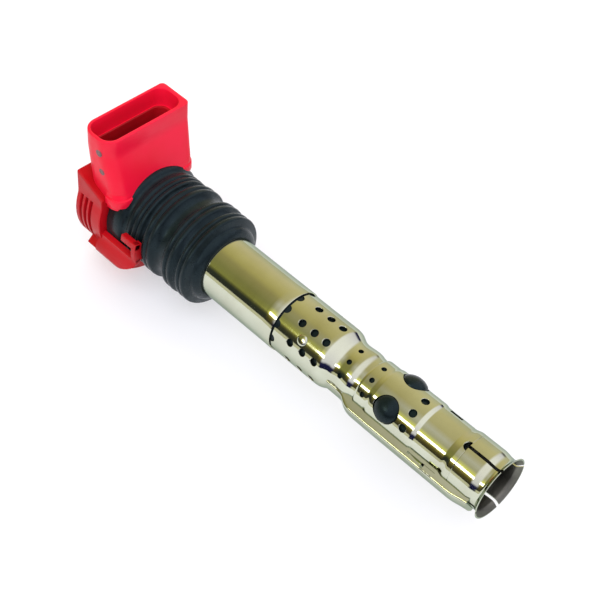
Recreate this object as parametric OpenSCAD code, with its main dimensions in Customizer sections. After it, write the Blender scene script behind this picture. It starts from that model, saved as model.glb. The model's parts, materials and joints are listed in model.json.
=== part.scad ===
// Plug-top ignition coil, lying along X with its connector upright.
// +X runs along the shaft towards the spark plug, +Z towards the connector's mouth.
// The origin is on the shaft axis, in the middle of the ring where the clip fingers
// grip the plug's hexagon.

/* [Shaft] */
// Distance from the grip ring to the datum that the shaft is measured back from
rim_x = 4.6; // [4.4:0.1:5]
// Outside radius of the polished case tube
case_r = 11.5; // [11.4:0.05:11.6]
// Wall of the pressed sheet sleeves
sheet = 0.5; // [0.4:0.05:0.6]
// Angle that the sleeves are turned by about the shaft
sleeve_turn = 27; // [0:1:45]

/* [Shield sleeve] */
// Outside radius of the perforated band
band_r = 11.2; // [11.1:0.05:11.3]
// Number of hole rows round the perforated band
band_rows = 9; // [6:1:10]
// Radius of the holes in the perforated band
band_hole_r = 1.3; // [0.8:0.1:1.5]
// Half-round notches in the sleeve's open edge
notch_count = 12; // [8:1:14]

/* [Lower shell and fingers] */
// Outside radius of the dome band
dome_band_r = 10; // [9.95:0.05:10.05]
// Outside radius of the clip fingers
finger_r = 10.15; // [10.1:0.05:10.2]
// Inside radius of the ring that grips the plug's hexagon
grip_r = 9.25; // [9.2:0.05:9.35]
// Number of rubber domes and of their openings
dome_count = 4; // [2:1:4]
// Angle of each slit between the fingers
slit_angle = 6; // [4:0.5:8]

/* [Plug boot] */
// Radius of the bore that seals on the plug's insulator
insulator_r = 5.2; // [5:0.1:5.4]
// Radius of the contact cap
cap_r = 2.92; // [2.9:0.01:2.95]

/* [Head] */
// Height of the connector's mouth above the shaft axis
mouth_z = 36.6; // [36:0.2:40]
// Wall of the connector shroud
shroud_wall = 1.2; // [1.1:0.1:1.4]
// Radius of the end cap's flange
flange_r = 24.5; // [24:0.5:25]
// Number of cooling grooves in each group on the end cap
groove_count = 3; // [1:1:3]

/* [Hidden] */
$fn = 64;
over = 1;
air = 0.05;

// Distances back from the datum to the features along the shaft
rim_d = 2.2;
keyhole_d = 15;
insulator_d = 20;
dome_d = 43;
terminal_d = 47.8;
cap_nose_d = 48.5;
lip_d = 51.8;
cap_shoulder_d = 53;
shell_d = 55.3;
spring_front_d = 56;
spring_back_d = 66;
sleeve_d = 90;
case_end_d = 90.6;
resistor_back_d = 91.5;
hv_flange_d = 98.5;
coil_front_d = 97;
seal_front_d = 123;
coil_back_d = 146;
saddle_d = 158;
case_start_d = 158;
seal_back_d = 165;
chamber_back_d = 176.4;
cap_back_d = 178;

// Angles about the shaft, from +Y towards +Z
row_step = 33.3;
row_angles = [for (side = [0, 180], k = [-1:1]) 90 + side + k * row_step + sleeve_turn];
band_angles = [for (k = [0:band_rows - 1]) 90 + k * 360 / band_rows + sleeve_turn];
dome_angles = [for (k = [0:dome_count - 1]) 26 + k * 90 + sleeve_turn];
first_slit = 73 + sleeve_turn;
finger_span = 90;
rail_angle = 181.5 + sleeve_turn;
window_angle = 24 + sleeve_turn;

function at(d) = rim_x - d;
function flip(outline) = [for (i = [len(outline) - 1:-1:0]) outline[i]];
function inset(outline, wall) = [for (p = outline) [p[0], p[1] - wall]];

// Solid cylinder on the shaft axis between two distances back from the datum
module rod(d_back, d_front, r) {
    translate([at(d_back), 0, 0])
        rotate([0, 90, 0])
            cylinder(h = d_back - d_front, r = r);
}

// Tube on the shaft axis
module pipe(d_back, d_front, r_out, r_in) {
    difference() {
        rod(d_back, d_front, r_out);
        rod(d_back + over, d_front - over, r_in);
    }
}

// Body of revolution about the shaft from [distance, radius] pairs, between two angles
module turned(outline, from = 0, to = 360) {
    rotate([0, 90, 0])
        rotate([0, 0, from + 90])
            rotate_extrude(angle = to - from)
                polygon([for (p = outline) [p[1], at(p[0])]]);
}

// Pressed sheet whose outside follows the line
module pressed(line, from = 0, to = 360) {
    turned(concat(line, flip(inset(line, sheet))), from, to);
}

// Everything inside the line, down to the shaft axis
module filled(line) {
    turned(concat(line, [[line[len(line) - 1][0], 0], [line[0][0], 0]]));
}

// Part of a tube between two angles
module arc_band(d_back, d_front, r_in, r_out, from, to) {
    turned([[d_back, r_in], [d_back, r_out], [d_front, r_out], [d_front, r_in]], from, to);
}

// Cylinder that points straight out from the shaft axis
module spoke(d, angle, r, r_from, r_to) {
    translate([at(d), 0, 0])
        rotate([angle, 0, 0])
            translate([0, r_from, 0])
                rotate([-90, 0, 0])
                    cylinder(h = r_to - r_from, r = r);
}

module block(x0, x1, y0, y1, z0, z1) {
    translate([x0, y0, z0])
        cube([x1 - x0, y1 - y0, z1 - z0]);
}

// Rectangle with round corners, of radius r towards -Y and far_r towards +Y
module round_rect(x0, x1, y0, y1, r, far_r) {
    translate([x0 + r, y0]) square([x1 - x0 - 2 * r, y1 - y0 - far_r]);
    translate([x0 + far_r, y0 + r]) square([x1 - x0 - 2 * far_r, y1 - y0 - r]);
    translate([x0, y0 + r]) square([x1 - x0, y1 - y0 - r - far_r]);
    for (x = [x0 + r, x1 - r])
        translate([x, y0 + r]) circle(r = r, $fn = 32);
    for (x = [x0 + far_r, x1 - far_r])
        translate([x, y1 - far_r]) circle(r = far_r, $fn = 32);
}

module round_block(x0, x1, y0, y1, z0, z1, r, far_r) {
    translate([0, 0, z0])
        linear_extrude(z1 - z0)
            round_rect(x0, x1, y0, y1, r, far_r);
}

// Extrudes a Y-Z outline along the shaft
module across(d_back, d_front) {
    translate([at(d_back), 0, 0])
        rotate([90, 0, 90])
            linear_extrude(d_back - d_front)
                children();
}

// ---------------------------------------------------------------- head

shroud_back_d = 177;
shroud_x0 = at(shroud_back_d);
shroud_x1 = at(163);
shroud_y0 = -17.5;
shroud_y1 = 18.3;
shroud_r = 5.5;
shroud_far_r = 1.8;
recess_z = mouth_z - 7.3;
socket_floor_z = 19.6;
insert_bottom_z = 18;
socket_step = 0.8;
waist_x0 = at(175.4);
waist_x1 = at(159.4);
waist_y = 16.3;
waist_z = 15;
waist_r = 5;
waist_far_r = 2.5;
saddle_y = 17.8;
waist_bottom_z = 8;
saddle_bottom_z = 10.2;
saddle_top_z = 14.2;
saddle_r = 5;
neck_r = 18;
housing_neck_r = 14;
block_r = 17;
block_half_y = 16.4;
block_top_z = 9;
chamber_y0 = -11.4;
chamber_y1 = 13;
chamber_floor_z = -9.5;
chamber_roof_z = 15.5;
thin = 0.02;
blade_y = [-8.8, -2.4, 4, 10.4];
blade_w = 2.8;
blade_t = 0.8;
blade_top_z = 24.8;
blade_x = at(171.2);

// Mouth of the connector at the top, waist below it and saddle on the seal's neck
module shroud_outside() {
    hull() {
        round_block(shroud_x0, shroud_x1, shroud_y0, shroud_y1, mouth_z - 7, mouth_z,
                    shroud_r, shroud_far_r);
        round_block(waist_x0, waist_x1, -waist_y, waist_y, waist_z, waist_z + thin,
                    waist_r, waist_far_r);
    }
    round_block(waist_x0, waist_x1, -waist_y, waist_y, waist_bottom_z, waist_z,
                waist_r, waist_far_r);
    intersection() {
        hull() {
            round_block(waist_x0, waist_x1, -waist_y, waist_y, waist_z - thin, waist_z,
                        waist_r, waist_far_r);
            round_block(waist_x0, at(saddle_d), -saddle_y, saddle_y, saddle_bottom_z,
                        saddle_top_z, saddle_r, saddle_r);
        }
        block(at(seal_back_d), at(saddle_d) + over, -neck_r, neck_r, 0, mouth_z);
    }
}

recess_x0 = shroud_x0 + shroud_wall;
recess_x1 = shroud_x1 - shroud_wall;
recess_y0 = shroud_y0 + shroud_wall;
recess_y1 = shroud_y1 - 1.5 * shroud_wall;
recess_r = 4.2;
module connector_recess() {
    round_block(recess_x0, recess_x1, recess_y0, recess_y1, recess_z, mouth_z + over,
                recess_r, recess_r);
}

// Narrower socket below the ledge, shrunk by a gap for the insert
socket_y = 15.4;
socket_r = 3.6;
module socket_space(z0, z1, gap) {
    step = socket_step + gap;
    round_block(recess_x0 + step, recess_x1 - step, -socket_y + gap, socket_y - gap,
                z0, z1, socket_r, socket_r);
}

// Hollow behind the neck that holds the igniter, open at the back
module igniter_chamber() {
    block(at(chamber_back_d) - over, at(seal_back_d) - 2, chamber_y0, chamber_y1,
          chamber_floor_z, chamber_roof_z);
}

marks = [[168, 6], [167, 13.8]];
mark_r = 1.5;
module head_housing() {
    color("crimson")
    difference() {
        union() {
            shroud_outside();
            across(chamber_back_d, seal_back_d) {
                circle(r = block_r);
                translate([-block_half_y, 0])
                    square([2 * block_half_y, block_top_z]);
            }
            rod(seal_back_d + over, coil_back_d, housing_neck_r);
        }
        connector_recess();
        socket_space(insert_bottom_z, recess_z + over, 0);
        for (y = blade_y)
            block(blade_x - blade_t / 2 - air, blade_x + blade_t / 2 + air,
                  y - blade_w / 2 - air, y + blade_w / 2 + air,
                  chamber_roof_z - 2, insert_bottom_z + over);
        // two shallow round marks on the rounded end
        for (m = marks)
            translate([at(m[0]), shroud_y0 + 0.35 + (m[1] - 7) * 0.075, mouth_z - m[1]])
                rotate([90, 0, 0])
                    cylinder(h = 3, r = mark_r);
        igniter_chamber();
        rod(seal_back_d + 3, coil_back_d - over, case_r + air);
        // room for the well seal's collar under the saddle
        pipe(seal_back_d, coil_back_d - 2, neck_r + air, housing_neck_r);
    }
}

// Insert that carries the blades in the floor of the socket
module connector_insert() {
    color("firebrick")
    difference() {
        socket_space(insert_bottom_z + air, socket_floor_z, 0.1);
        for (y = blade_y)
            block(blade_x - blade_t / 2 - air, blade_x + blade_t / 2 + air,
                  y - blade_w / 2 - air, y + blade_w / 2 + air, 0, mouth_z);
    }
}

board_x = at(172.6);
board_t = 1.2;
module connector_blades() {
    color("gold")
    for (y = blade_y) {
        block(blade_x - blade_t / 2, blade_x + blade_t / 2, y - blade_w / 2,
              y + blade_w / 2, 12, blade_top_z - 1);
        // narrowed lead-in at the tip of the blade
        block(blade_x - blade_t / 4, blade_x + blade_t / 4, y - blade_w / 2 + 0.5,
              y + blade_w / 2 - 0.5, blade_top_z - 1, blade_top_z);
        // foot that is soldered to the board
        block(board_x + board_t / 2, blade_x - blade_t / 2, y - 1, y + 1, 12, 12.8);
    }
}

// Cooling grooves between two angles on the end cap
module grooves(back_d, width, pitch, floor_r, from, to) {
    for (k = [0:groove_count - 1])
        arc_band(back_d - k * pitch, back_d - width - k * pitch, floor_r, flange_r + 4,
                 from, to);
}

cap_half_y = 19.4;
cap_top_z = 17.5;
cap_front_z = 11.6;
wall_slope = atan((cap_top_z - cap_front_z) / (cap_back_d - seal_back_d));
fin_r = 20.9;
wide_back_d = 171.5;
module cap_outside() {
    front_d = seal_back_d + 0.1;
    rod(cap_back_d, front_d, fin_r);
    across(cap_back_d, front_d + 0.2)
        translate([-cap_half_y, 0])
            square([2 * cap_half_y, cap_top_z]);
    // wider lower part
    arc_band(wide_back_d, front_d + 0.4, block_r, flange_r - 0.6, 205, 335);
}

// Lug under the seal's neck, with a hook that reaches forwards into the seal's first valley
lug_front_d = 158.5;
hook_r = 20.2;
hook_back_d = 149.2;
hook_front_d = 147.2;
module seal_hook() {
    clear_r = flange_r + 3;
    behind_d = seal_back_d + 3;
    before_d = hook_front_d - over;
    difference() {
        arc_band(seal_back_d + over, hook_front_d, neck_r + 0.3, flange_r, 167, 258);
        // thin the arm, free its back end, then open the window
        arc_band(behind_d, before_d, hook_r, clear_r, 165, 196);
        arc_band(behind_d, 154.6, neck_r - 1.2, clear_r + 0.4, 164, 176);
        arc_band(behind_d, hook_back_d, neck_r - 1, clear_r + 0.2, 175, 188);
        // end the lug in front of the neck
        arc_band(lug_front_d, before_d, neck_r - 1.4, clear_r + 0.6, 206, 260);
        arc_band(lug_front_d - 0.2, before_d, hook_r + 0.6, clear_r + 0.8, 195.8, 207);
    }
}

module end_cap() {
    color("firebrick")
    difference() {
        union() {
            cap_outside();
            seal_hook();
        }
        // fits round the head block, with the top open for the connector
        across(shroud_back_d + air, seal_back_d - over) {
            circle(r = block_r + air);
            translate([-block_half_y - air, 0])
                square([2 * (block_half_y + air), mouth_z]);
        }
        // the side walls slope down from the back plate to the front
        translate([at(cap_back_d), -flange_r - over, cap_top_z])
            rotate([0, wall_slope, 0])
                translate([-cap_top_z, 0, 0])
                    cube([cap_top_z + 16, 2 * (flange_r + over), 2 * cap_top_z]);
        for (side = [0, 1])
            mirror([0, side, 0]) {
                grooves(175.9, 1.2, 2.45, fin_r - 2.4, 158, 204);
                grooves(170.9, 0.9, 2.2, flange_r - 2.6, 208, 228);
            }
    }
}

// ---------------------------------------------------------------- igniter

module igniter_board() {
    color("darkgreen")
    block(board_x - board_t / 2, board_x + board_t / 2, chamber_y0 + 0.6,
          chamber_y1 - 0.6, -8.5, 14);
}

module power_transistor() {
    color("dimgray")
    union() {
        block(board_x + board_t / 2, board_x + board_t / 2 + 2.2, -5, 5, -7.5, 1);
        for (y = [-2.5, 0, 2.5])
            block(board_x + board_t / 2, board_x + board_t / 2 + 0.5, y - 0.4, y + 0.4, 1, 4);
    }
}

module heat_sink_plate() {
    color("silver")
    block(board_x - board_t / 2 - 1.5, board_x - board_t / 2, chamber_y0 + 1,
          chamber_y1 - 1, -8.5, 13);
}

// Resin that fills the back of the chamber behind the heat sink
module potting_resin() {
    color("black")
    block(at(chamber_back_d) + air, board_x - board_t / 2 - 1.5 - air, chamber_y0 + air,
          chamber_y1 - air, chamber_floor_z + air, chamber_roof_z - air);
}

lead_r = 0.5;
module primary_leads() {
    color("orange")
    for (side = [-1, 1])
        translate([board_x + board_t / 2, side * 9.6, 2])
            rotate([0, 90, 0])
                cylinder(h = at(coil_back_d - 1) - board_x - board_t / 2, r = lead_r, $fn = 24);
}

// ---------------------------------------------------------------- well seal

// Outside of the seal: collar, neck, rounded ribs and bevelled end ring
seal_line = [[seal_back_d, neck_r], [157.8, neck_r], [157.1, 16.7], [155.8, 16.7],
             [155, 17.2], [150.4, 17.4], [149.2, 16.8], [148.5, 15.8], [147.9, 15.8], [147.2, 16.9], [146.4, 17.6],
             [143.2, 17.6], [142.2, 16.6], [141, 15.6], [138, 15.6], [136.9, 16.6],
             [135.6, 17.5], [133.2, 17.5], [132.2, 16.7], [131.5, 15.8], [130.9, 15.8],
             [130.2, 16.7], [129.2, 17.3], [126.4, 17.3], [125, 16.2], [123.8, 14.6],
             [seal_front_d, 12.6]];
module well_seal() {
    color("darkslategray")
    turned(concat(seal_line, [[seal_front_d, case_r], [coil_back_d, case_r],
                              [coil_back_d, housing_neck_r],
                              [seal_back_d, housing_neck_r]]));
}

// ---------------------------------------------------------------- coil

module case_tube() {
    color("silver")
    pipe(case_start_d, case_end_d, case_r, case_r - sheet);
}

module outer_iron_tube() {
    color("slategray")
    difference() {
        pipe(coil_back_d, coil_front_d, case_r - sheet - 0.1, 10.4);
        // slit that stops a current flowing round the tube
        block(at(coil_back_d) - over, at(coil_front_d) + over, -0.6, 0.6, -case_r, 0);
    }
}

primary_r = 9.4;
secondary_r = 7.2;
bobbin_t = 0.5;
module primary_winding() {
    color("orangered")
    pipe(coil_back_d - 2, coil_front_d + 2, 10.2, primary_r);
}

module primary_bobbin() {
    color("ivory")
    union() {
        pipe(coil_back_d - 1, coil_front_d + 1, primary_r - air, primary_r - bobbin_t);
        for (d = [coil_back_d - 1, coil_front_d + 2])
            pipe(d, d - 1, 10.2, primary_r - bobbin_t);
    }
}

section_count = 8;
module secondary_winding() {
    color("peru")
    for (k = [0:section_count - 1]) {
        pitch = (coil_back_d - coil_front_d - 4) / section_count;
        back = coil_back_d - 2 - k * pitch;
        pipe(back - 0.5, back - pitch + 0.5, 8.6, secondary_r);
    }
}

module secondary_bobbin() {
    color("beige")
    union() {
        pipe(coil_back_d - 1.5, coil_front_d + 1.5, secondary_r - air, secondary_r - 2 * bobbin_t);
        for (k = [0:section_count]) {
            pitch = (coil_back_d - coil_front_d - 4) / section_count;
            pipe(coil_back_d - 1.6 - k * pitch, coil_back_d - 2.4 - k * pitch, 8.7,
                 secondary_r - 2 * bobbin_t);
        }
    }
}

core_r = 5;
magnet_t = 3;
magnet_back_d = coil_back_d - 2;
core_back_d = magnet_back_d - magnet_t - 0.1;
core_front_d = coil_front_d + 2 + magnet_t + 0.1;
module core_cushion() {
    color("dimgray")
    pipe(magnet_back_d, coil_front_d + 2, secondary_r - 2 * bobbin_t - air, core_r + 0.1);
}

// Stack of flat strips whose widths make a round bar
strip_count = 11;
strip_pitch = 0.9;
module iron_core() {
    color("gray")
    intersection() {
        rod(core_back_d, core_front_d, core_r);
        for (k = [0:strip_count - 1])
            translate([at(core_back_d) - over, -core_r, (k - strip_count / 2) * strip_pitch])
                cube([core_back_d - core_front_d + 2 * over, 2 * core_r, strip_pitch - 0.06]);
    }
}

module core_magnets() {
    color("darkgray")
    for (d = [magnet_back_d, coil_front_d + 2 + magnet_t])
        rod(d, d - magnet_t, core_r);
}

module high_voltage_terminal() {
    color("goldenrod")
    union() {
        rod(hv_flange_d, hv_flange_d - 1, 7);
        pipe(hv_flange_d - 1, resistor_back_d - 2, 3.7, 2.95);
    }
}

resistor_r = 2.9;
module suppression_resistor() {
    color("white")
    union() {
        rod(resistor_back_d, spring_back_d, resistor_r - 0.2);
        rod(resistor_back_d, resistor_back_d - 2.5, resistor_r);
        rod(spring_back_d + 2.5, spring_back_d, resistor_r);
    }
}

// Helical spring swept along the shaft
spring_mean_r = 2.35;
wire_r = 0.28;
spring_turns = 6;
steps_per_turn = 20;
wire_sides = 8;
spring_steps = spring_turns * steps_per_turn;
spring_length = spring_back_d - spring_front_d - 2 * wire_r;
function spring_point(i, k) =
    let (turn = 360 * i / steps_per_turn, side = 360 * k / wire_sides)
    let (r = spring_mean_r + wire_r * cos(side))
    [at(spring_back_d) + wire_r + spring_length * i / spring_steps + wire_r * sin(side),
     r * cos(turn), r * sin(turn)];
module contact_spring() {
    points = [for (i = [0:spring_steps], k = [0:wire_sides - 1]) spring_point(i, k)];
    walls = [for (i = [0:spring_steps - 1], k = [0:wire_sides - 1])
        let (j = (k + 1) % wire_sides)
        [i * wire_sides + k, (i + 1) * wire_sides + k,
         (i + 1) * wire_sides + j, i * wire_sides + j]];
    start = [for (k = [0:wire_sides - 1]) k];
    finish = [for (k = [wire_sides - 1:-1:0]) spring_steps * wire_sides + k];
    color("silver")
    polyhedron(points, concat(walls, [start, finish]));
}

cap_nose_r = 2.3;
// Sliding cup that touches the plug's terminal
module contact_cap() {
    color("goldenrod")
    difference() {
        union() {
            rod(spring_front_d - air, cap_shoulder_d, cap_r);
            rod(cap_shoulder_d + over, cap_nose_d, cap_nose_r);
        }
        rod(cap_nose_d + 2, cap_nose_d - over, 1.5);
    }
}

// ---------------------------------------------------------------- boot

boot_band_r = 10;
boot_shell_r = 8.95;
dome_r = 4.45;
dome_sphere_r = 6.5;
dome_top = 11.6;
boot_line = [[93.5, 8.9], [85.5, 8.9], [85, boot_band_r], [71, boot_band_r],
             [66.8, 8.3], [56, 8.3], [54.5, 8.3], [52.5, boot_shell_r], [32, boot_shell_r],
             [30, 8.7], [insulator_d + 1, 8.7], [insulator_d, 8]];
module plug_boot() {
    color("darkslategray")
    difference() {
        union() {
            filled(boot_line);
            for (a = dome_angles)
                intersection() {
                    spoke(dome_d, a, dome_r, 6, 12);
                    rotate([a, 0, 0])
                        translate([at(dome_d), dome_top - dome_sphere_r, 0])
                            sphere(r = dome_sphere_r);
                }
        }
        rod(93.5 + over, resistor_back_d - 2.2, 3.8);
        rod(resistor_back_d + over, spring_back_d, resistor_r + air);
        rod(spring_back_d + over, cap_shoulder_d - air, cap_r + 0.06);
        rod(cap_shoulder_d + over, lip_d - over, cap_nose_r + 0.1);
        rod(lip_d, terminal_d - over, insulator_r - 0.6);
        rod(terminal_d, insulator_d - over, insulator_r);
    }
}

module sleeve_seal_ring() {
    color("black")
    pipe(96, 86.5, 10.6, 8.95);
}

// ---------------------------------------------------------------- sleeves

shield_line = [[sleeve_d, band_r], [70.3, band_r - 0.1], [69.2, band_r - 0.4],
               [66.2, 9.6], [65.2, 9.35], [64, 9.3], [60.4, 9.55], [59, 9.45],
               [56.6, 8.95], [54, 8.9]];
module shield_sleeve() {
    color("silver")
    difference() {
        pressed(shield_line);
        for (k = [0:notch_count - 1])
            spoke(sleeve_d, 84 + k * 360 / notch_count, 1.5, band_r - 2, band_r + 2);
        for (a = band_angles, d = [82.6, 77.1, 71.9])
            spoke(d, a, band_hole_r, band_r - 3, band_r + 2);
        for (a = row_angles)
            spoke(62.4, a, 0.85, 7, 11);
        spoke(79, rivet_angle, 1.1 + 0.02, band_r - 3, band_r + 2);
    }
}

rivet_angle = 112 + sleeve_turn;
module sleeve_rivet() {
    color("silver")
    intersection() {
        union() {
            spoke(79, rivet_angle, 1.1, band_r - sheet - 0.5, band_r + 0.2);
            spoke(79, rivet_angle, 1.9, band_r, band_r + 0.55);
        }
        rotate([rivet_angle, 0, 0])
            translate([at(79), band_r - 3.6, 0])
                sphere(r = 4.2);
    }
}

shell_line = [[shell_d, 9.45], [54.8, 9.65], [50.3, 9.65], [49.3, dome_band_r],
              [31.6, dome_band_r], [30.6, 9.6], [18.9, 9.6], [17.3, finger_r],
              [keyhole_d, finger_r]];
module keyholes() {
    for (k = [0:3])
        spoke(keyhole_d, first_slit + k * finger_span, 1.75, 8, 12);
}

module lower_shell() {
    color("silver")
    difference() {
        pressed(shell_line);
        for (a = dome_angles)
            spoke(dome_d, a, dome_r + 0.15, 8, 12);
        for (a = row_angles) {
            spoke(52.5, a, 0.85, 8, 12);
            spoke(35.2, a, band_hole_r, 8, 12);
        }
        rotate([window_angle, 0, 0])
            block(at(28.6), at(23.8), 8, 12, -0.8, 0.8);
        keyholes();
    }
}

// Clip finger: straight band, grip ring and flared rim
finger_line = [[keyhole_d - air, finger_r], [7.6, finger_r + 0.05], [5.4, grip_r + sheet],
               [3.8, grip_r + sheet], [3.2, 10.15], [rim_d + 0.3, 11], [rim_d, 11.3]];
module clip_finger(k) {
    from = first_slit + (k - 1) * finger_span;
    color("silver")
    difference() {
        pressed(finger_line, from + slit_angle / 2, from + finger_span - slit_angle / 2);
        keyholes();
    }
}
module clip_finger_1() { clip_finger(1); }
module clip_finger_2() { clip_finger(2); }
module clip_finger_3() { clip_finger(3); }
module clip_finger_4() { clip_finger(4); }

// Raised channel along the closing seam, over the neck and down to the fingers
rail_line = [[66, 10.15], [61, 10.05], [59.4, 10.2], [55.6, 12.3], [12, 12.25],
             [8, 11.6], [6, 11.35]];
rail_half = 5;
module rail_space(line, half) {
    intersection() {
        filled(line);
        rotate([rail_angle, 0, 0])
            block(at(66), at(6), 4, 14, -half, half);
    }
}

module seam_rail() {
    color("silver")
    difference() {
        rail_space(rail_line, rail_half);
        // hollow under the sheet
        rail_space([[60.5, 9.6], [55, 11.8], [12, 11.75], [5, 10.85]], rail_half - sheet);
        // room for the sleeves, and for the fingers to spring out
        filled([[67, 9.66], [65.2, 9.45], [64, 9.4], [60.4, 9.62], [56.6, 9.62], [55.6, 9.7],
                [50.3, 9.7], [49.3, dome_band_r + air], [31.5, dome_band_r + air],
                [30.5, 9.65], [18.9, 9.65], [17.3, finger_r + air], [16, 10.9], [5, 10.9]]);
        for (a = dome_angles)
            spoke(dome_d, a, dome_r + 0.45, 8, 14);
        // slot and window in the near flank
        rotate([rail_angle, 0, 0]) {
            block(at(30.4), at(24.4), 9.4, 10.3, -6, -4);
            block(at(24.4), at(19.2), 9.4, 11.2, -6, -4);
        }
    }
    // bent tab that locks the channel
    color("silver")
    rotate([rail_angle, 0, 0])
        block(at(23.6), at(20), 11.2, 11.6, -6, -4.5);
}

head_housing();
connector_insert();
connector_blades();
end_cap();
igniter_board();
power_transistor();
heat_sink_plate();
potting_resin();
primary_leads();
well_seal();
case_tube();
outer_iron_tube();
primary_winding();
primary_bobbin();
secondary_winding();
secondary_bobbin();
core_cushion();
iron_core();
core_magnets();
high_voltage_terminal();
suppression_resistor();
contact_spring();
contact_cap();
plug_boot();
sleeve_seal_ring();
shield_sleeve();
sleeve_rivet();
lower_shell();
seam_rail();
clip_finger_1();
clip_finger_2();
clip_finger_3();
clip_finger_4();
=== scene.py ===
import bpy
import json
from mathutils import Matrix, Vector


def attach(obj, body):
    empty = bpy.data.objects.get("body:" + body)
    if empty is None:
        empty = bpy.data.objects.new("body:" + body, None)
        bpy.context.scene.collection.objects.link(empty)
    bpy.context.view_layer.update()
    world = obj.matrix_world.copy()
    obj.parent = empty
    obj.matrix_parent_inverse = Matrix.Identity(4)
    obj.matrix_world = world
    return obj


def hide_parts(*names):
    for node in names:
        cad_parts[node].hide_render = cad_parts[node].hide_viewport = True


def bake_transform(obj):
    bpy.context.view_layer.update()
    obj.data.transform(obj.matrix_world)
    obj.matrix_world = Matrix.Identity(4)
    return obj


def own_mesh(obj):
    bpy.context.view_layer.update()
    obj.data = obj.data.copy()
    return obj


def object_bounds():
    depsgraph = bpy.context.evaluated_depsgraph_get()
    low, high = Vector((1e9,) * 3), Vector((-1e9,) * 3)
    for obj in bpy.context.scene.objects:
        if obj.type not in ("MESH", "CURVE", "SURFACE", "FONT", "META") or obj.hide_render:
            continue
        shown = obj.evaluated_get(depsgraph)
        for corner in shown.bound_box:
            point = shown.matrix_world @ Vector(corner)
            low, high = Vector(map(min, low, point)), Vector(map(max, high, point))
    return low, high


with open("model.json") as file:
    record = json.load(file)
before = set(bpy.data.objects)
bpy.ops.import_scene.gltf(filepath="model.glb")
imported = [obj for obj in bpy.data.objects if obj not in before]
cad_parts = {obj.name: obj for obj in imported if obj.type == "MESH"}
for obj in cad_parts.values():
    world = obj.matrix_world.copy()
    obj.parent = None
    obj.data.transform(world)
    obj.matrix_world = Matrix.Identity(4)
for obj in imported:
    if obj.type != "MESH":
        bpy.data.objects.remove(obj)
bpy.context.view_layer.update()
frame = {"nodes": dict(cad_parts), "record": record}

import bpy, bmesh, json, math
import numpy as np
from mathutils import Vector, Matrix

MM = 0.001
RIM = 4.6


def at(d):
    return RIM - d


# ------------------------------------------------------------------ materials

def tree(name):
    m = bpy.data.materials.new(name)
    m.use_nodes = True
    t = m.node_tree
    b = t.nodes["Principled BSDF"]
    return m, t, b


def node(t, kind, **values):
    n = t.nodes.new(kind)
    for k, v in values.items():
        if k in n.inputs:
            n.inputs[k].default_value = v
        else:
            setattr(n, k, v)
    return n


def noise(t, scale, detail=3.0, stretch=None, rough=0.5):
    co = node(t, "ShaderNodeTexCoord")
    n = node(t, "ShaderNodeTexNoise", Scale=scale, Detail=detail, Roughness=rough)
    if stretch:
        mp = node(t, "ShaderNodeMapping")
        mp.inputs["Scale"].default_value = stretch
        t.links.new(co.outputs["Object"], mp.inputs["Vector"])
        t.links.new(mp.outputs["Vector"], n.inputs["Vector"])
    else:
        t.links.new(co.outputs["Object"], n.inputs["Vector"])
    return n.outputs["Fac"]


def ramp(t, fac, stops):
    r = node(t, "ShaderNodeValToRGB")
    e = r.color_ramp.elements
    while len(e) < len(stops):
        e.new(0.5)
    for k, (p, c) in enumerate(stops):
        e[k].position = p
        e[k].color = (*c, 1.0) if len(c) == 3 else c
    t.links.new(fac, r.inputs["Fac"])
    return r.outputs["Color"]


def spread(t, fac, lo, hi, a=0.3, b=0.7):
    m = node(t, "ShaderNodeMapRange")
    m.inputs["From Min"].default_value = a
    m.inputs["From Max"].default_value = b
    m.inputs["To Min"].default_value = lo
    m.inputs["To Max"].default_value = hi
    t.links.new(fac, m.inputs["Value"])
    return m.outputs["Result"]


def bump(t, b, fac, strength, distance=0.0002, before=None):
    n = node(t, "ShaderNodeBump", Strength=strength, Distance=distance)
    t.links.new(fac, n.inputs["Height"])
    if before is not None:
        t.links.new(before.outputs["Normal"], n.inputs["Normal"])
    t.links.new(n.outputs["Normal"], b.inputs["Normal"])
    return n


def plated(name, colour, dark, rough_lo, rough_hi, wave=0.06, brushed=None):
    """Bright metal: cloudy tint, uneven polish, fine drawing lines and a slight ripple."""
    m, t, b = tree(name)
    b.inputs["Metallic"].default_value = 1.0
    b.inputs["Specular Tint"].default_value = (0.42, 0.48, 0.44, 1)
    cloud = noise(t, 90, 4)
    t.links.new(ramp(t, cloud, [(0.32, dark), (0.62, colour)]), b.inputs["Base Color"])
    fine = noise(t, 900, 3, brushed or (0.25, 1.0, 1.0))
    t.links.new(spread(t, fine, rough_lo, rough_hi), b.inputs["Roughness"])
    lines = bump(t, b, fine, 0.03, 0.0001)
    bump(t, b, noise(t, 120, 1.5), wave, 0.0004, before=lines)
    return m


def rubber(name, colour, dust, rough=0.42):
    """Moulded rubber: faint bloom, uneven sheen and a fine pebbled skin."""
    m, t, b = tree(name)
    cloud = noise(t, 160, 5, rough=0.6)
    t.links.new(ramp(t, cloud, [(0.35, colour), (0.75, dust)]), b.inputs["Base Color"])
    t.links.new(spread(t, noise(t, 420, 4), rough - 0.07, rough + 0.12), b.inputs["Roughness"])
    b.inputs["Specular IOR Level"].default_value = 0.22
    b.inputs["Specular Tint"].default_value = (0.55, 0.85, 1.0, 1)
    b.inputs["Sheen Weight"].default_value = 0.04
    b.inputs["Sheen Roughness"].default_value = 0.4
    b.inputs["Sheen Tint"].default_value = (0.55, 0.68, 0.75, 1)
    pebble = bump(t, b, noise(t, 2600, 2), 0.12, 0.00008)
    bump(t, b, noise(t, 260, 3), 0.10, 0.0003, before=pebble)
    return m


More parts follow.
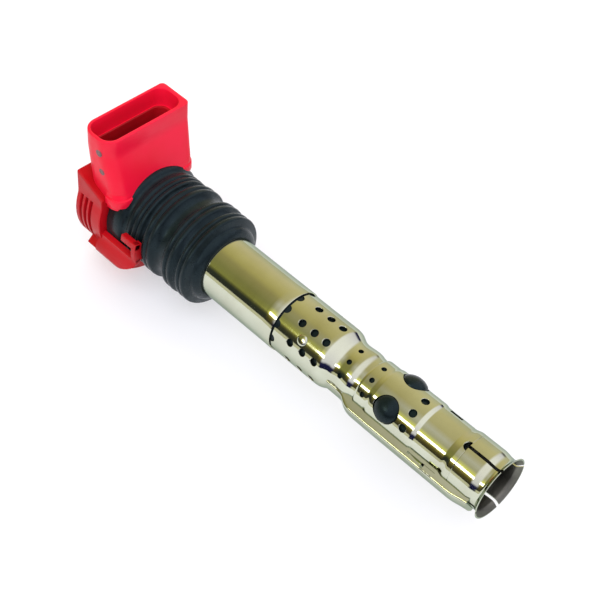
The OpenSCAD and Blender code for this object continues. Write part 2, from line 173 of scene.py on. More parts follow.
def plastic(name, colour, deep, rough=0.3, coat=0.15, grain=1700):
    """Moulded plastic: slight flow shading, satin skin with a fine texture, rubbed patches."""
    m, t, b = tree(name)
    flow = noise(t, 55, 3)
    t.links.new(ramp(t, flow, [(0.3, deep), (0.68, colour)]), b.inputs["Base Color"])
    t.links.new(spread(t, noise(t, 300, 5), rough - 0.06, rough + 0.1), b.inputs["Roughness"])
    b.inputs["Specular IOR Level"].default_value = 0.2
    b.inputs["Coat Weight"].default_value = coat
    b.inputs["Coat Roughness"].default_value = 0.2
    skin = bump(t, b, noise(t, grain, 2), 0.09, 0.0001)
    bump(t, b, noise(t, 70, 2), 0.05, 0.0006, before=skin)
    return m


def wound(name, colour, dark, pitch):
    """Coil of wire: bands along the shaft."""
    m, t, b = tree(name)
    b.inputs["Metallic"].default_value = 0.8
    co = node(t, "ShaderNodeTexCoord")
    w = node(t, "ShaderNodeTexWave", Scale=pitch, Distortion=0.4, Detail=1.0)
    w.bands_direction = "X"
    t.links.new(co.outputs["Object"], w.inputs["Vector"])
    t.links.new(ramp(t, w.outputs["Fac"], [(0.1, dark), (0.7, colour)]), b.inputs["Base Color"])
    b.inputs["Roughness"].default_value = 0.35
    bump(t, b, w.outputs["Fac"], 0.5, 0.0002)
    return m


METAL = (0.58, 0.61, 0.49)
MATS = {
    "red_plastic": plastic("Red plastic", (0.86, 0.008, 0.042), (0.78, 0.006, 0.026), 0.34, 0.06),
    # darker red; the shroud's socket also takes it as painted shade
    "dark_red_plastic": plastic("Dark red plastic and painted socket shade", (0.42, 0.006, 0.012), (0.30, 0.004, 0.008), 0.4),
    "red_cap_plastic": plastic("Cap plastic", (0.50, 0.004, 0.010), (0.38, 0.003, 0.006), 0.36, 0.03),
    "tinned_blade": plated("Tinned blade", (0.78, 0.74, 0.62), (0.62, 0.58, 0.46), 0.18, 0.3),
    "board": plastic("Board", (0.02, 0.16, 0.05), (0.015, 0.11, 0.035), 0.35),
    "chip_package": plastic("Chip package", (0.02, 0.02, 0.022), (0.014, 0.014, 0.015), 0.5),
    "aluminium_plate": plated("Aluminium plate", (0.72, 0.72, 0.74), (0.6, 0.6, 0.62), 0.25, 0.4),
    "resin": plastic("Resin", (0.05, 0.045, 0.04), (0.03, 0.028, 0.025), 0.2),
    "copper_lead": wound("Copper lead", (0.72, 0.34, 0.16), (0.5, 0.2, 0.09), 300),
    "black_rubber": rubber("Seal rubber", (0.0045, 0.0075, 0.0080), (0.011, 0.017, 0.019), 0.30),
    "boot_rubber": rubber("Boot rubber", (0.0035, 0.006, 0.006), (0.008, 0.014, 0.014), 0.26),
    "polished_steel": plated("Polished tube", METAL, (0.53, 0.55, 0.43), 0.05, 0.09, 0.012,
    (1.0, 0.15, 0.15)),
    "plated_sheet": plated("Plated sheet", METAL, (0.52, 0.54, 0.42), 0.05, 0.10, 0.022, (1.0, 0.2, 0.2)),
    # darker base colour for the faces towards the shaft: painted shade inside the sleeves
    "sheet_inside": plated("Sheet inside painted shade", (0.20, 0.20, 0.17), (0.13, 0.13, 0.11), 0.42, 0.6, 0.02,
    (1.0, 0.2, 0.2)),
    "core_steel": plated("Core steel", (0.3, 0.3, 0.33), (0.2, 0.2, 0.22), 0.35, 0.5),
    "enamelled_wire": wound("Enamelled wire", (0.62, 0.2, 0.07), (0.36, 0.1, 0.03), 700),
    "fine_wire": wound("Fine wire", (0.58, 0.27, 0.1), (0.36, 0.15, 0.05), 1600),
    "bobbin_plastic": plastic("Bobbin plastic", (0.72, 0.66, 0.52), (0.62, 0.56, 0.43), 0.5),
    "cushion_rubber": rubber("Cushion rubber", (0.03, 0.03, 0.03), (0.05, 0.05, 0.05)),
    "magnet": plated("Magnet", (0.42, 0.42, 0.46), (0.3, 0.3, 0.33), 0.3, 0.45),
    "brass": plated("Brass", (0.8, 0.6, 0.27), (0.66, 0.46, 0.18), 0.18, 0.32),
    "resistor_body": plastic("Ceramic", (0.82, 0.8, 0.74), (0.74, 0.71, 0.64), 0.35),
    "spring_steel": plated("Spring steel", (0.58, 0.58, 0.6), (0.45, 0.45, 0.47), 0.2, 0.35),
}
for sp in frame["record"]["subparts"]:
    o = frame["nodes"].get(sp["node"])
    if o is None:
        continue
    if not o.data.materials:
        o.data.materials.append(None)
    for k in range(len(o.data.materials)):
        o.data.materials[k] = MATS[sp["material_slot"]]


# ------------------------------------------------------------------ mesh helpers

def make(name, V, F, slot, body, replaces=(), sharp=35):
    me = bpy.data.meshes.new(name)
    me.from_pydata([tuple(c * MM for c in v) for v in V], [], F)
    me.validate()
    me.update()
    o = bpy.data.objects.new(name, me)
    bpy.context.scene.collection.objects.link(o)
    me.materials.append(MATS[slot])
    me.polygons.foreach_set("use_smooth", [True] * len(me.polygons))
    if sharp:
        me.set_sharp_from_angle(angle=math.radians(sharp))
    if body:
        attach(o, body)
    if replaces:
        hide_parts(*replaces)
    return o


def rounded(line, radius, k=5):
    """Polyline with its inner corners rounded."""
    out = [line[0]]
    P = [np.array(p, float) for p in line]
    for i in range(1, len(P) - 1):
        a, b, c = P[i - 1], P[i], P[i + 1]
        la, lc = np.linalg.norm(a - b), np.linalg.norm(c - b)
        t = min(radius, la * 0.48, lc * 0.48)
        p, q = b + (a - b) / la * t, b + (c - b) / lc * t
        for j in range(k + 1):
            s = j / k
            out.append(tuple((1 - s) ** 2 * p + 2 * s * (1 - s) * b + s * s * q))
    out.append(line[-1])
    return [tuple(map(float, p)) for p in out]


def lathe(profile, n=240, a0=0.0, a1=360.0, closed=True):
    """Closed profile of (d, r) turned about the shaft."""
    full = abs(a1 - a0 - 360) < 1e-6
    m = len(profile)
    rows = n if full else n + 1
    V, F = [], []
    for i in range(rows):
        a = math.radians(a0 + (a1 - a0) * i / n)
        ca, sa = math.cos(a), math.sin(a)
        V += [(at(d), r * ca, r * sa) for d, r in profile]
    last = m if closed else m - 1
    for i in range(n):
        j = (i + 1) % rows
        for k in range(last):
            l = (k + 1) % m
            F.append((i * m + k, i * m + l, j * m + l, j * m + k))
    if not full and closed:
        F.append(tuple(range(m - 1, -1, -1)))
        F.append(tuple(n * m + k for k in range(m)))
    return V, F


def merge(*parts):
    V, F = [], []
    for v, f in parts:
        o = len(V)
        V += v
        F += [tuple(i + o for i in g) for g in f]
    return V, F


def spin_out(profile, d, angle, n=40):
    """Profile of (height, radius) turned about a line that points out from the shaft."""
    V, F = [], []
    ca, sa = math.cos(math.radians(angle)), math.sin(math.radians(angle))
    m = len(profile)
    for i in range(n):
        t = 2 * math.pi * i / n
        for h, r in profile:
            u, w = r * math.cos(t), r * math.sin(t)
            V.append((at(d) + u, h * ca - w * sa, h * sa + w * ca))
    for i in range(n):
        j = (i + 1) % n
        for k in range(m - 1):
            F.append((i * m + k, j * m + k, j * m + k + 1, i * m + k + 1))
    F.append(tuple(i * m for i in range(n - 1, -1, -1)))
    F.append(tuple(i * m + m - 1 for i in range(n)))
    return V, F


def punch(surface, d, angle, r, deep=3.0, edge=0.22):
    """Cutter for a punched hole whose edge is turned in at the surface."""
    prof = [(surface - deep, r), (surface - 0.28, r), (surface - 0.12, r + edge * 0.18),
            (surface - 0.03, r + edge * 0.6), (surface + 0.04, r + edge * 1.25),
            (surface + 1.5, r + edge * 1.4)]
    return spin_out(prof, d, angle)


def bar(d0, d1, v0, v1, u0, u1, angle):
    """Straight block in the frame of an angle: v points out, u runs across."""
    ca, sa = math.cos(math.radians(angle)), math.sin(math.radians(angle))
    V = []
    for d in (d0, d1):
        for v in (v0, v1):
            for u in (u0, u1):
                V.append((at(d), v * ca - u * sa, v * sa + u * ca))
    F = [(0, 1, 3, 2), (4, 6, 7, 5), (0, 4, 5, 1), (2, 3, 7, 6), (0, 2, 6, 4), (1, 5, 7, 3)]
    return V, F


def cut(o, parts, crossing=False):
    """Takes the cutters away from a piece."""
    V, F = merge(*parts)
    me = bpy.data.meshes.new("cutter")
    me.from_pydata([tuple(c * MM for c in v) for v in V], [], F)
    bm = bmesh.new()
    bm.from_mesh(me)
    bmesh.ops.recalc_face_normals(bm, faces=bm.faces)
    bm.to_mesh(me)
    bm.free()
    bm = bmesh.new()
    bm.from_mesh(o.data)
    bmesh.ops.recalc_face_normals(bm, faces=bm.faces)
    bm.to_mesh(o.data)
    bm.free()
    c = bpy.data.objects.new("cutter", me)
    bpy.context.scene.collection.objects.link(c)
    mod = o.modifiers.new("cut", "BOOLEAN")
    mod.operation = "DIFFERENCE"
    mod.solver = "EXACT"
    mod.use_self = crossing
    mod.object = c
    bpy.context.view_layer.update()
    dg = bpy.context.evaluated_depsgraph_get()
    new = bpy.data.meshes.new_from_object(o.evaluated_get(dg))
    o.modifiers.clear()
    old = o.data
    o.data = new
    new.name = o.name
    bpy.data.meshes.remove(old)
    bpy.data.objects.remove(c)
    bpy.data.meshes.remove(me)
    return o


def true_normals(o, line, limit=0.93):
    """Shades the turned faces by the line's own normals, so that cuts leave no mark on the reflections."""
    me = o.data
    L = np.array(line, float)
    seg = np.diff(L, axis=0)
    nrm = np.stack([seg[:, 1], -seg[:, 0]], 1)
    nrm /= np.linalg.norm(nrm, axis=1)[:, None] + 1e-12
    vn = np.vstack([nrm[:1], nrm[:-1] + nrm[1:], nrm[-1:]])
    vn /= np.linalg.norm(vn, axis=1)[:, None] + 1e-12
    order = np.argsort(L[:, 0])
    D, NX, NR = L[order, 0], vn[order, 0], vn[order, 1]
    nv, nl, nf = len(me.vertices), len(me.loops), len(me.polygons)
    co = np.empty(nv * 3)
    me.vertices.foreach_get("co", co)
    co = co.reshape(-1, 3) / MM
    lv = np.empty(nl, int)
    me.loops.foreach_get("vertex_index", lv)
    fn = np.empty(nf * 3)
    me.polygons.foreach_get("normal", fn)
    fn = fn.reshape(-1, 3)
    fa = np.empty(nf)
    me.polygons.foreach_get("area", fa)
    tot = np.empty(nf, int)
    me.polygons.foreach_get("loop_total", tot)
    lf = np.repeat(np.arange(nf), tot)
    d = RIM - co[:, 0]
    a = np.arctan2(co[:, 2], co[:, 1])
    nx, nr = np.interp(d, D, NX), np.interp(d, D, NR)
    # d grows towards -X, so the axial part changes sign
    sign = 1.0 if np.median(nr) > 0 else -1.0
    an = np.stack([-nx * sign, nr * sign * np.cos(a), nr * sign * np.sin(a)], 1)
    an /= np.linalg.norm(an, axis=1)[:, None]
    dot = np.einsum("ij,ij->i", fn[lf], an[lv])
    side = np.abs(dot) < limit
    acc = np.zeros((nv, 3))
    w = fn[lf] * fa[lf][:, None] ** 0.5
    np.add.at(acc, lv[side], w[side])
    acc /= np.linalg.norm(acc, axis=1)[:, None] + 1e-12
    out = an[lv] * np.sign(dot)[:, None]
    near = np.einsum("ij,ij->i", fn[lf], acc[lv]) > 0.75
    out[side] = np.where(near[side][:, None], acc[lv][side], fn[lf][side])
    me.polygons.foreach_set("use_smooth", [True] * nf)
    for name in ("sharp_edge", "sharp_face"):
        if name in me.attributes:
            me.attributes.remove(me.attributes[name])
    me.normals_split_custom_set(out.tolist())


def paint_inside_shade(o):
    """Darker, rougher metal on the faces that look towards the shaft: painted shade inside the sheet."""
    o.data.materials.append(MATS["sheet_inside"])
    for p in o.data.polygons:
        c, n = p.center, p.normal
        if n.y * c.y + n.z * c.z < -0.3 * math.hypot(c.y, c.z):
            p.material_index = 1


def sheet(line, wall=0.5, radius=0.8, k=6, end=0.12):
    """Sheet metal profile from its outside line, with turned bends and softened ends."""
    out = rounded(line, radius, k)
    inn = [(d, r - wall) for d, r in out]
    a, b = out[0], out[-1]
    soft = [(a[0], a[1] - end)] + [(a[0] - end * 0.3, a[1] - end * 0.3)] + [(a[0] - end, a[1])]
    tail = [(b[0] + end, b[1])] + [(b[0] + end * 0.3, b[1] - end * 0.3)] + [(b[0], b[1] - end)]
    mid = [p for p in out[1:-1] if b[0] + end < p[0] < a[0] - end]
    return soft + mid + tail + inn[::-1], out


def refine(line, step=1.2):
    """Adds points on long straight runs so that cuts meet small faces."""
    out = [line[0]]
    for p, q in zip(line, line[1:]):
        n = max(1, int(math.hypot(q[0] - p[0], q[1] - p[1]) / step))
        out += [(p[0] + (q[0] - p[0]) * i / n, p[1] + (q[1] - p[1]) * i / n) for i in range(1, n + 1)]
    return out


# ------------------------------------------------------------------ sleeves

TURN = 27
ROWS = [90 + side + k * 33.3 + TURN for side in (0, 180) for k in (-1, 0, 1)]
BANDS = [90 + k * 40 + TURN for k in range(9)]
DOMES = [26 + k * 90 + TURN for k in range(4)]
SLIT0 = 73 + TURN
RAIL = 181.5 + TURN
WINDOW = 24 + TURN
RIVET = 112 + TURN

shield_line = [(90, 11.2), (70.6, 11.2), (68.9, 10.95), (66.3, 9.62), (65.0, 9.34), (63.4, 9.32),
    (60.6, 9.56),
               (58.9, 9.5), (57.2, 9.02), (54, 8.9)]
prof, out = sheet(shield_line, 0.5, 1.0)
V, F = lathe(refine(prof), 288)
shield = make("shield_skin", V, F, "plated_sheet", "body", ["shield_sleeve"], None)
cuts = [punch(11.2, 90.1, 84 + k * 30, 1.5, edge=0.08) for k in range(12)]
cuts += [punch(11.2 if d > 73 else 11.17, d, a, 1.3) for a in BANDS for d in (82.6, 77.1, 71.9)]
cuts += [punch(9.44, 62.4, a, 0.85, edge=0.1) for a in ROWS]
cut(shield, cuts)
true_normals(shield, out)
paint_inside_shade(shield)

shell_line = [(55.3, 9.35), (54.7, 9.65), (50.4, 9.65), (49.2, 10.0), (31.8, 10.0), (30.5, 9.6),
    (19.1, 9.6), (17.1, 10.15),
              (15, 10.15)]
prof, out = sheet(shell_line, 0.5, 0.5)
prof = [p for p in prof if p[0] >= 15]
V, F = lathe(refine(prof), 288)
shell = make("shell_skin", V, F, "plated_sheet", "body", ["lower_shell"], None)
cuts = [punch(10.0, 43, a, 4.6, edge=0.25) for a in DOMES]
cuts += [punch(9.65, 52.5, a, 0.85, edge=0.1) for a in ROWS] + [punch(10.0, 35.2, a, 1.3) for a in ROWS]
cuts += [bar(28.6, 23.8, 7, 11, -0.8, 0.8, WINDOW)]
cuts += [punch(10.15, 15, SLIT0 + k * 90, 1.75) for k in range(4)]
cut(shell, cuts)
true_normals(shell, out)
paint_inside_shade(shell)

finger_line = [(15.5, 10.11), (15.04, 10.12), (14.9, 10.155), (7.6, 10.18), (5.5, 9.76), (3.9, 9.75),
    (3.2, 10.15), (2.5, 11.0), (2.2, 11.3)]
for k in range(4):
    prof, out = sheet(finger_line, 0.5, 0.7)
    prof = [(min(p[0], 15.0), p[1]) for p in prof]
    lo = SLIT0 + k * 90
    V, F = lathe(refine(prof), 96, lo + 3, lo + 87)
    f = make("finger_skin_%d" % (k + 1), V, F, "plated_sheet", None, ["clip_finger_%d" % (k + 1)], None)
    cut(f, [punch(10.15, 15, lo, 1.75), punch(10.15, 15, lo + 90, 1.75)])
    true_normals(f, out)
    paint_inside_shade(f)
    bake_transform(f)

# raised channel along the closing seam
rail_line = rounded([(66, 9.95), (61, 9.98), (59.2, 10.2), (55.8, 12.2), (48, 12.3), (12, 12.25),
    (8.4, 11.6), (6, 11.3)], 2.0, 6)
rail_line = refine(rail_line, 0.8)


def body_radius(d):
    return float(np.interp(-d, [-66, -60, -55, -50, -49, -31, -30, -19, -17, -6],
        [9.4, 9.6, 9.0, 9.7, 10.0, 10.0, 9.6, 9.6, 10.2, 10.2]))


RAIL_HALF = 5.0


def rail_section(d, top):
    """Outline across the channel: flank, rounded shoulder, crown, shoulder, flank."""
    half = RAIL_HALF
    base = math.sqrt(max(body_radius(d) ** 2 - half ** 2, 1)) - 0.35
    crown = math.sqrt(top * top - (half - 0.9) ** 2)
    pts = [(-half, base), (-half, base + 0.5 * (crown - base))]
    corner_a, corner, corner_b = (
        (-half, crown - 1.0), (-half, crown), (-half + 1.0, math.sqrt(top * top - (half - 1.0) ** 2)))
    for j in range(6):
        s = j / 5
        pts.append(tuple(
            (1 - s) ** 2 * corner_a[q] + 2 * s * (1 - s) * corner[q] + s * s * corner_b[q] for q in (0, 1)))
    for j in range(1, 12):
        u = -half + 1.0 + (half - 1.0) * j / 12
        pts.append((u, math.sqrt(top * top - u * u)))
    return pts + [(0.0, top)] + [(-u, v) for u, v in pts[::-1]]


V, F = [], []
ca, sa = math.cos(math.radians(RAIL)), math.sin(math.radians(RAIL))
for d, top in rail_line:
    section = rail_section(d, top)
    m = len(section)
    V += [(at(d), v * ca - u * sa, v * sa + u * ca) for u, v in section]
n = len(rail_line)
for i in range(n - 1):
    for k in range(m):
        l = (k + 1) % m
        F.append((i * m + k, i * m + l, (i + 1) * m + l, (i + 1) * m + k))
F += [tuple(range(m - 1, -1, -1)), tuple((n - 1) * m + k for k in range(m))]
rail = make("rail_skin", V, F, "plated_sheet", "body", ["seam_rail"], None)
cut(rail, [punch(12.3, 43, a, 4.9, 5.0) for a in DOMES] + [
    bar(30.4, 24.4, 9.2, 9.9, -6.5, -3.5, RAIL), bar(24.4, 19.2, 9.2, 10.9, -6.5, -3.5, RAIL)], True)
rail.data.polygons.foreach_set("use_smooth", [True] * len(rail.data.polygons))
rail.data.set_sharp_from_angle(angle=math.radians(32))
V, F = bar(23.8, 19.8, 10.7, 11.1, -5.9, -4.6, RAIL)
tab = make("rail_tab", V, F, "plated_sheet", "body")
soft = tab.modifiers.new("soft", "BEVEL")
soft.width = 0.00015
soft.segments = 3

# rivet in the shield
prof = [(10.6, 0.6), (11.05, 1.1), (11.1, 1.9), (11.3, 1.88), (11.5, 1.7), (11.64, 1.35), (11.72, 0.9),
    (11.75, 0.4), (11.76, 0.02)]
V, F = spin_out(prof, 79, RIVET, 36)
make("rivet_head", V, F, "plated_sheet", "body", ["sleeve_rivet"], 40)

# case tube with a softened end
V, F = lathe(refine([(158, 11.0), (158, 11.5), (90.75, 11.5), (90.62, 11.45), (90.6, 11.35), (90.6, 11.0)],
    4), 288)
make("case_skin", V, F, "polished_steel", "body", ["case_tube"], 30)

# ------------------------------------------------------------------ rubber

V, F = lathe(rounded([(96, 8.95), (96, 10.6), (86.5, 10.6), (86.5, 8.95)], 0.3), 160)
make("gap_seal", V, F, "black_rubber", "body", ["sleeve_seal_ring"], 40)

# well seal: collar, beaded ribs, end ring and bevelled face
def bead(d, r, w=0.85, h=0.42):
    return [(d + w * math.cos(t), r + h * math.sin(t)) for t in [math.pi * j / 6 for j in range(7)]]


line = [(165, 17.4), (164.6, 17.95), (158.9, 18.0), (158.2, 17.7), (157.8, 17.1), (157.5, 16.7)]
line += [(156.6, 16.5), (155.9, 16.55)] + bead(154.6, 16.8, 0.95, 0.5) + [(153.5, 16.75)] + bead(152.4,
    16.8, 0.85, 0.5) + [(151.4, 16.6)]
line += bead(150.5, 16.65, 0.8, 0.5) + [(149.6, 16.1), (149.0, 15.6), (148.5, 15.4), (148.1, 15.6),
    (147.8, 16.2), (147.6, 16.7)]
line += bead(146.5, 17.1, 0.95, 0.5) + [(145.3, 17.05)] + bead(144.0, 17.1, 1.05, 0.5) + [(142.7, 16.7),
    (142.2, 16.1), (141.5, 15.6), (140.5, 15.35), (138.6, 15.35), (137.8, 15.7), (137.3, 16.3)]
line += bead(136.2, 16.95, 0.9, 0.52) + [(135.0, 16.95)] + bead(133.7, 17.0, 1.0, 0.52) + [(132.4, 16.6),
    (131.9, 16.1), (131.4, 15.7), (130.9, 15.75), (130.5, 16.3)]
line += bead(129.6, 16.8, 0.8, 0.5) + [(128.5, 16.85)] + bead(127.3, 16.8, 0.95, 0.5) + [(126.2, 16.2),
    (125.9, 15.5), (125.75, 14.9), (125.55, 14.5), (125.2, 14.35), (124.8, 14.3), (124.2, 13.9),
    (123.6, 13.2), (123.2, 12.4), (123.0, 11.9), (123.1, 11.55)]
prof = line + [(123.6, 11.5), (146, 11.5), (146, 14), (165, 14)]
V, F = lathe(prof, 256)
make("seal_skin", V, F, "black_rubber", "body", ["well_seal"], 60)

# boot and its domes
body_line = rounded([
    (93.5, 3.85), (93.5, 8.9), (85.5, 8.9), (85, 10.0), (71, 10.0), (66.8, 8.3), (54.5, 8.3), (52.5, 8.95),
    (32, 8.95), (30, 8.7), (21, 8.7), (20, 8.0), (20, 5.2), (51.8, 5.2), (51.8, 2.45), (53, 2.45), (53, 3.0),
    (66, 3.0), (66, 2.98), (91.5, 2.98), (91.5, 3.85)], 0.35, 3)
parts = [lathe(body_line, 160)]
for a in DOMES:
    dome = [(7.5, 4.42), (9.3, 4.42), (9.62, 4.38), (9.85, 4.22)]
    dome += [(5.1 + 6.5 * math.cos(t), 6.5 * math.sin(t))
             for t in [math.radians(38.5 * j / 16) for j in range(16, -1, -1)]]
    dome[-1] = (11.6, 0.03)
    parts.append(spin_out(dome, 43, a, 56))
V, F = merge(*parts)
make("boot_skin", V, F, "boot_rubber", "body", ["plug_boot"], 50)

# contact spring, a fixed coil; in the plug it is squeezed as the cap slides back
V, F = [], []
turns, per, sides = 6, 32, 12
for i in range(turns * per + 1):
    t = 2 * math.pi * i / per
    x = at(66) + 0.28 + 9.44 * i / (turns * per)
    for k in range(sides):
        s = 2 * math.pi * k / sides
        r = 2.35 + 0.28 * math.cos(s)
        V.append((x + 0.28 * math.sin(s), r * math.cos(t), r * math.sin(t)))
for i in range(turns * per):
    for k in range(sides):
        l = (k + 1) % sides
        F.append((i * sides + k, (i + 1) * sides + k, (i + 1) * sides + l, i * sides + l))
F += [tuple(range(sides)), tuple(turns * per * sides + k for k in range(sides - 1, -1, -1))]
coil = make("spring_wire", V, F, "spring_steel", "body", ["contact_spring"], 50)
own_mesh(coil)

# ------------------------------------------------------------------ connector shroud

def ring(x0, x1, y0, y1, r, far, z, k=10):
    """Rectangle with round corners, r towards -Y and far towards +Y, as a closed loop of points."""
    pts = []
    for cx, cy, q, a in ((x1 - far, y1 - far, far, 0), (x0 + far, y1 - far, far, 90),
        (x0 + r, y0 + r, r, 180), (x1 - r, y0 + r, r, 270)):
        for j in range(k + 1):
            t = math.radians(a + 90 * j / k)
            pts.append((cx + q * math.cos(t), cy + q * math.sin(t), z))
    out = []
    for i, p in enumerate(pts):
        q = pts[(i + 1) % len(pts)]
        out.append(p)
        if i % (k + 1) == k:
            out += [tuple(p[c] + (q[c] - p[c]) * s / 8 for c in range(3)) for s in range(1, 8)]
    return out


def mix(a, b, s):
    return tuple(p + (q - p) * s for p, q in zip(a, b))


def loft(rings, cap_first=False, cap_last=False):
    m = len(rings[0])
    V = [p for r in rings for p in r]
    F = []
    for i in range(len(rings) - 1):
        for k in range(m):
            l = (k + 1) % m
            F.append((i * m + k, i * m + l, (i + 1) * m + l, (i + 1) * m + k))
    if cap_first:
        F.append(tuple(range(m - 1, -1, -1)))
    if cap_last:
        F.append(tuple((len(rings) - 1) * m + k for k in range(m)))
    return V, F


X0 = at(177)
saddle = (at(175.4), at(158), -17.8, 17.8, 5.0, 5.0)
waist = (at(175.4), at(158.9), -17.0, 16.6, 5.0, 2.5)
mouth = (X0, at(163), -17.5, 18.3, 5.5, 1.8)


def inset(s, g):
    return (s[0] + g, s[1] - g, s[2] + g, s[3] - g, max(s[4] - g, 0.3), max(s[5] - g, 0.3))


R = [ring(*inset(waist, 0.3), 8.0), ring(*waist, 8.3), ring(*waist, 11), ring(*waist, 13.5)]
for j in range(13):
    s = j / 12
    R.append(ring(*mix(waist, mouth, s), 15.0 + 14.6 * s))
R += [ring(*mouth, 31.5), ring(*mouth, 34), ring(*mouth, 36.2), ring(*inset(mouth, 0.06), 36.43),
    ring(*inset(mouth, 0.18), 36.56),
      ring(*inset(mouth, 0.32), 36.6)]
inner = (X0 + 1.2, at(163) - 1.2, -16.3, 16.5, 4.2, 4.2)
R += [ring(*inset(inner, -0.3), 36.6), ring(*inset(inner, -0.1), 36.54), ring(*inner, 36.3),
    ring(*inner, 34), ring(*inner, 31.5),
      ring(*inner, 29.55), ring(*inset(inner, 0.07), 29.36), ring(*inset(inner, 0.25), 29.3)]
socket = (X0 + 2.0, at(163) - 2.0, -15.4, 15.4, 3.6, 3.6)
R += [ring(*inset(socket, -0.16), 29.3), ring(*inset(socket, -0.04), 29.22), ring(*socket, 29.0),
    ring(*socket, 25.5), ring(*socket, 18.0)]
shroud_part = loft(R, True, True)
R = [ring(*inset(saddle, 0.45), 10.2), ring(*inset(saddle, 0.12), 10.3), ring(*saddle, 10.6),
    ring(*saddle, 11.6), ring(*saddle, 12.6),
     ring(*inset(saddle, 0.05), 13.2), ring(*inset(saddle, 0.2), 13.55), ring(*inset(saddle, 0.42), 13.68),
         ring(*inset(saddle, 0.5), 13.6),
     ring(*inset(saddle, 0.56), 13.75)]
for s in (0.33, 0.66, 1.0):
    R.append(ring(*mix(inset(saddle, 0.56), inset(waist, 0.05), s), 13.75 + 1.6 * s))
V, F = loft(R, True, True)
# the saddle starts at the end cap's front face
bm = bmesh.new()
vs = [bm.verts.new(v) for v in V]
for f in F:
    bm.faces.new([vs[i] for i in f])
g = bmesh.ops.bisect_plane(bm, geom=list(bm.verts) + list(bm.edges) + list(bm.faces),
    plane_co=(at(165), 0, 0), plane_no=(-1, 0, 0), clear_outer=True)
bmesh.ops.edgeloop_fill(bm, edges=[x for x in g["geom_cut"] if isinstance(x, bmesh.types.BMEdge)])
bm.verts.index_update()
saddle_part = ([tuple(v.co) for v in bm.verts], [tuple(v.index for v in f.verts) for f in bm.faces])
bm.free()
V, F = merge(shroud_part, saddle_part)
head = make("shroud_skin", V, F, "red_plastic", "body", ["head_housing"], 38)
# the ledge and socket below the mouth's inner lip take the darker red: painted shade in the recess
head.data.materials.append(MATS["dark_red_plastic"])
loop = len(ring(*mouth, 0))
for i in range(30 * loop, 35 * loop):
    head.data.polygons[i].material_index = 1

# two round marks on the rounded end
mark_mat, mt, mb = tree("Mark")
mt.links.new(ramp(mt, noise(mt, 900, 4), [(0.35, (0.13, 0.060, 0.062)), (0.7, (0.24, 0.12, 0.12))]),
    mb.inputs["Base Color"])
mb.inputs["Roughness"].default_value = 0.5
for k, (d, z, tilt) in enumerate(((168, 30.6, 0.0), (167, 22.8, math.atan2(0.5, 14.6)))):
    y = -17.5 + 0.034 * max(0.0, 29.6 - z)
    V, F = [], []
    prof = [(0.02, 0.13), (0.7, 0.125), (1.2, 0.09), (1.42, 0.0), (1.45, -0.5)]
    for i in range(32):
        t = 2 * math.pi * i / 32
        for r, h in prof:
            u, w = r * math.cos(t), r * math.sin(t)
            V.append((at(d) + u, y + 0.06 - h * math.cos(tilt) - w * math.sin(tilt),
                z + w * math.cos(tilt) - h * math.sin(tilt)))
    m = len(prof)
    for i in range(32):
        j = (i + 1) % 32
        for q in range(m - 1):
            F.append((i * m + q, i * m + q + 1, j * m + q + 1, j * m + q))
    F.append(tuple(i * m for i in range(32)))
    o = make("end_mark_%d" % (k + 1), V, F, "dark_red_plastic", "body", (), 50)
    o.data.materials[0] = mark_mat

# ------------------------------------------------------------------ end cap

def step(x, a, b):
    t = min(1.0, max(0.0, (x - a) / (b - a)))
    return t * t * (3 - 2 * t)


def window(x, a, b, e):
    return step(x, a - e, a + e) * (1 - step(x, b - e, b + e))


def smax(a, b, k):
    return 0.5 * (a + b + math.sqrt((a - b) ** 2 + k * k))


def smin(a, b, k):
    return 0.5 * (a + b - math.sqrt((a - b) ** 2 + k * k))


CAP_BACK, CAP_FRONT = 178, 165.1
CAP_R, FLANGE_R = 20.9, 23.9
WALL_Y, WALL_TOP, WALL_FALL = 19.4, 17.5, 0.454


def cap_radius(f, d):
    """Outside of the end cap at an angle and a distance."""
    c, s = math.cos(math.radians(f)), math.sin(math.radians(f))
    r = CAP_R
    top = WALL_TOP - (CAP_BACK - d) * WALL_FALL
    if s > -0.02:
        box = WALL_Y / max(abs(c), 0.05)
        r = r + (smax(r, box, 0.3) - r) * step(s, -0.02, 0.03)
    if s > 0.05:
        r = smin(r, top / s, 0.4)
    low = window(f, 205.3, 334.7, 0.8) * (1 - step(d, 171.2, 171.5)) * step(d, 165.3, 165.6)
    r = r + (FLANGE_R - r) * low
    g = f if 90 <= f <= 270 else (180 - f) % 360
    for k in range(3):
        w = window(d, 174.7 - 2.45 * k, 175.9 - 2.45 * k, 0.14) * window(g, 158, 204, 0.8)
        r = r * (1 - w) + 18.5 * w
        w = window(d, 170.0 - 2.2 * k, 170.9 - 2.2 * k, 0.12) * window(g, 208, 228, 0.8)
        r = r * (1 - w) + 21.9 * w
    return r


phis = [k * 0.75 for k in range(480)]
rows = [(CAP_BACK, -r0) for r0 in (0.04, 6, 12, 17, 18.8)]
rows += [(CAP_BACK - 0.6 * (1 - math.cos(t)),
    0.6 * (1 - math.sin(t))) for t in [math.radians(90 * j / 5) for j in range(6)]]
d = 177.3
while d > 165.5:
    rows.append((d, 0.0))
    d -= 0.13
rows += [(CAP_FRONT + 0.3 * (1 - math.sin(t)),
    0.3 * (1 - math.cos(t))) for t in [math.radians(90 * j / 4) for j in range(5)]]
rows += [(CAP_FRONT, -18.2), (CAP_FRONT, -9.0), (168, -9.0)]
V, F = [], []
for d, g in rows:
    for f in phis:
        r = -g if g < 0 else cap_radius(f, d) - g
        if g < 0:
            r = min(r, cap_radius(f, 177.9 if d > 170 else 165.2) - 0.7)
        V.append((at(d), r * math.cos(math.radians(f)), r * math.sin(math.radians(f))))
m = len(phis)
for i in range(len(rows) - 1):
    for k in range(m):
        l = (k + 1) % m
        F.append((i * m + k, (i + 1) * m + k, (i + 1) * m + l, i * m + l))
make("cap_skin", V, F, "red_cap_plastic", "body", ["end_cap"], 50)


